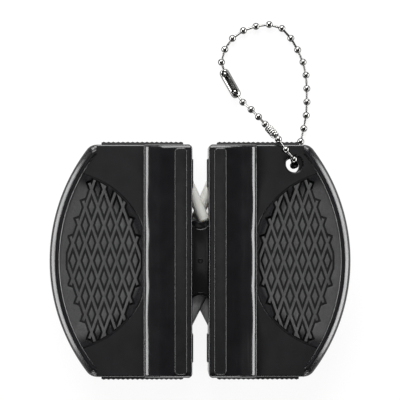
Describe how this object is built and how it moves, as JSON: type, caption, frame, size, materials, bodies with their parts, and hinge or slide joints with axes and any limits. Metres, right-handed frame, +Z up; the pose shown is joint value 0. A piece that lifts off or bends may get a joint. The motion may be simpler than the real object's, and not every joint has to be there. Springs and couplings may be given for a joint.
{
  "type": "pocket edge sharpener",
  "caption": "Black two-ended pocket edge sharpener with crossed ceramic rods, crossed carbide blades, textured thumb grips, ribbed end pads and a bead chain.",
  "frame": {"origin": "Centre of the tool's footprint without its chain, on the surface that the back spine bars rest on.", "axes": "+Z is up, out of the front face; +X runs across the wings to the right; +Y runs along the slot to the ceramic end."},
  "size_m": [0.062, 0.0745, 0.016],
  "materials": {
    "abs_black": "gloss moulded",
    "abs_inner": "satin moulded",
    "abs_bar": "satin moulded",
    "grip_textured": "matte spark-eroded texture",
    "rubber_pad": "matte ribbed",
    "ceramic": "matte sintered",
    "carbide": "ground",
    "steel_pin": "drawn",
    "nickel_chain": "polished",
    "nickel_wire": "drawn wire",
    "nickel_clasp": "polished"
  },
  "bodies": {
    "body": {"front_shell": "abs_black", "back_shell": "abs_black", "rod_cradle": "abs_inner", "blade_cradle": "abs_inner", "ceramic_rod_front": "ceramic", "ceramic_rod_back": "ceramic", "carbide_blade_front": "carbide", "carbide_blade_back": "carbide", "spine_bar_front_left": "abs_bar", "spine_bar_front_right": "abs_bar", "spine_bar_back_left": "abs_bar", "spine_bar_back_right": "abs_bar", "grip_front_left": "grip_textured", "grip_front_right": "grip_textured", "grip_back_left": "grip_textured", "grip_back_right": "grip_textured", "end_pad_top_left": "rubber_pad", "end_pad_top_right": "rubber_pad", "end_pad_bottom_left": "rubber_pad", "end_pad_bottom_right": "rubber_pad", "locating_pins": "steel_pin"},
    "chain": {"chain_beads": "nickel_chain", "chain_links": "nickel_chain", "chain_coil": "nickel_wire"},
    "clasp": {"chain_clasp": "nickel_clasp"}
  },
  "joints": [
    {"name": "chain_swing", "type": "hinge", "parent": "body", "child": "chain", "pos_m": [0.0194, 0.01995, 0.008], "axis": [0, 0, 1], "range_deg": [-60, 5]},
    {"name": "clasp_spin", "type": "hinge", "parent": "chain", "child": "clasp", "pos_m": [0.00643, 0.03685, 0.00153], "axis": [-0.479, 0.8646, -0.1519], "continuous": true}
  ]
}
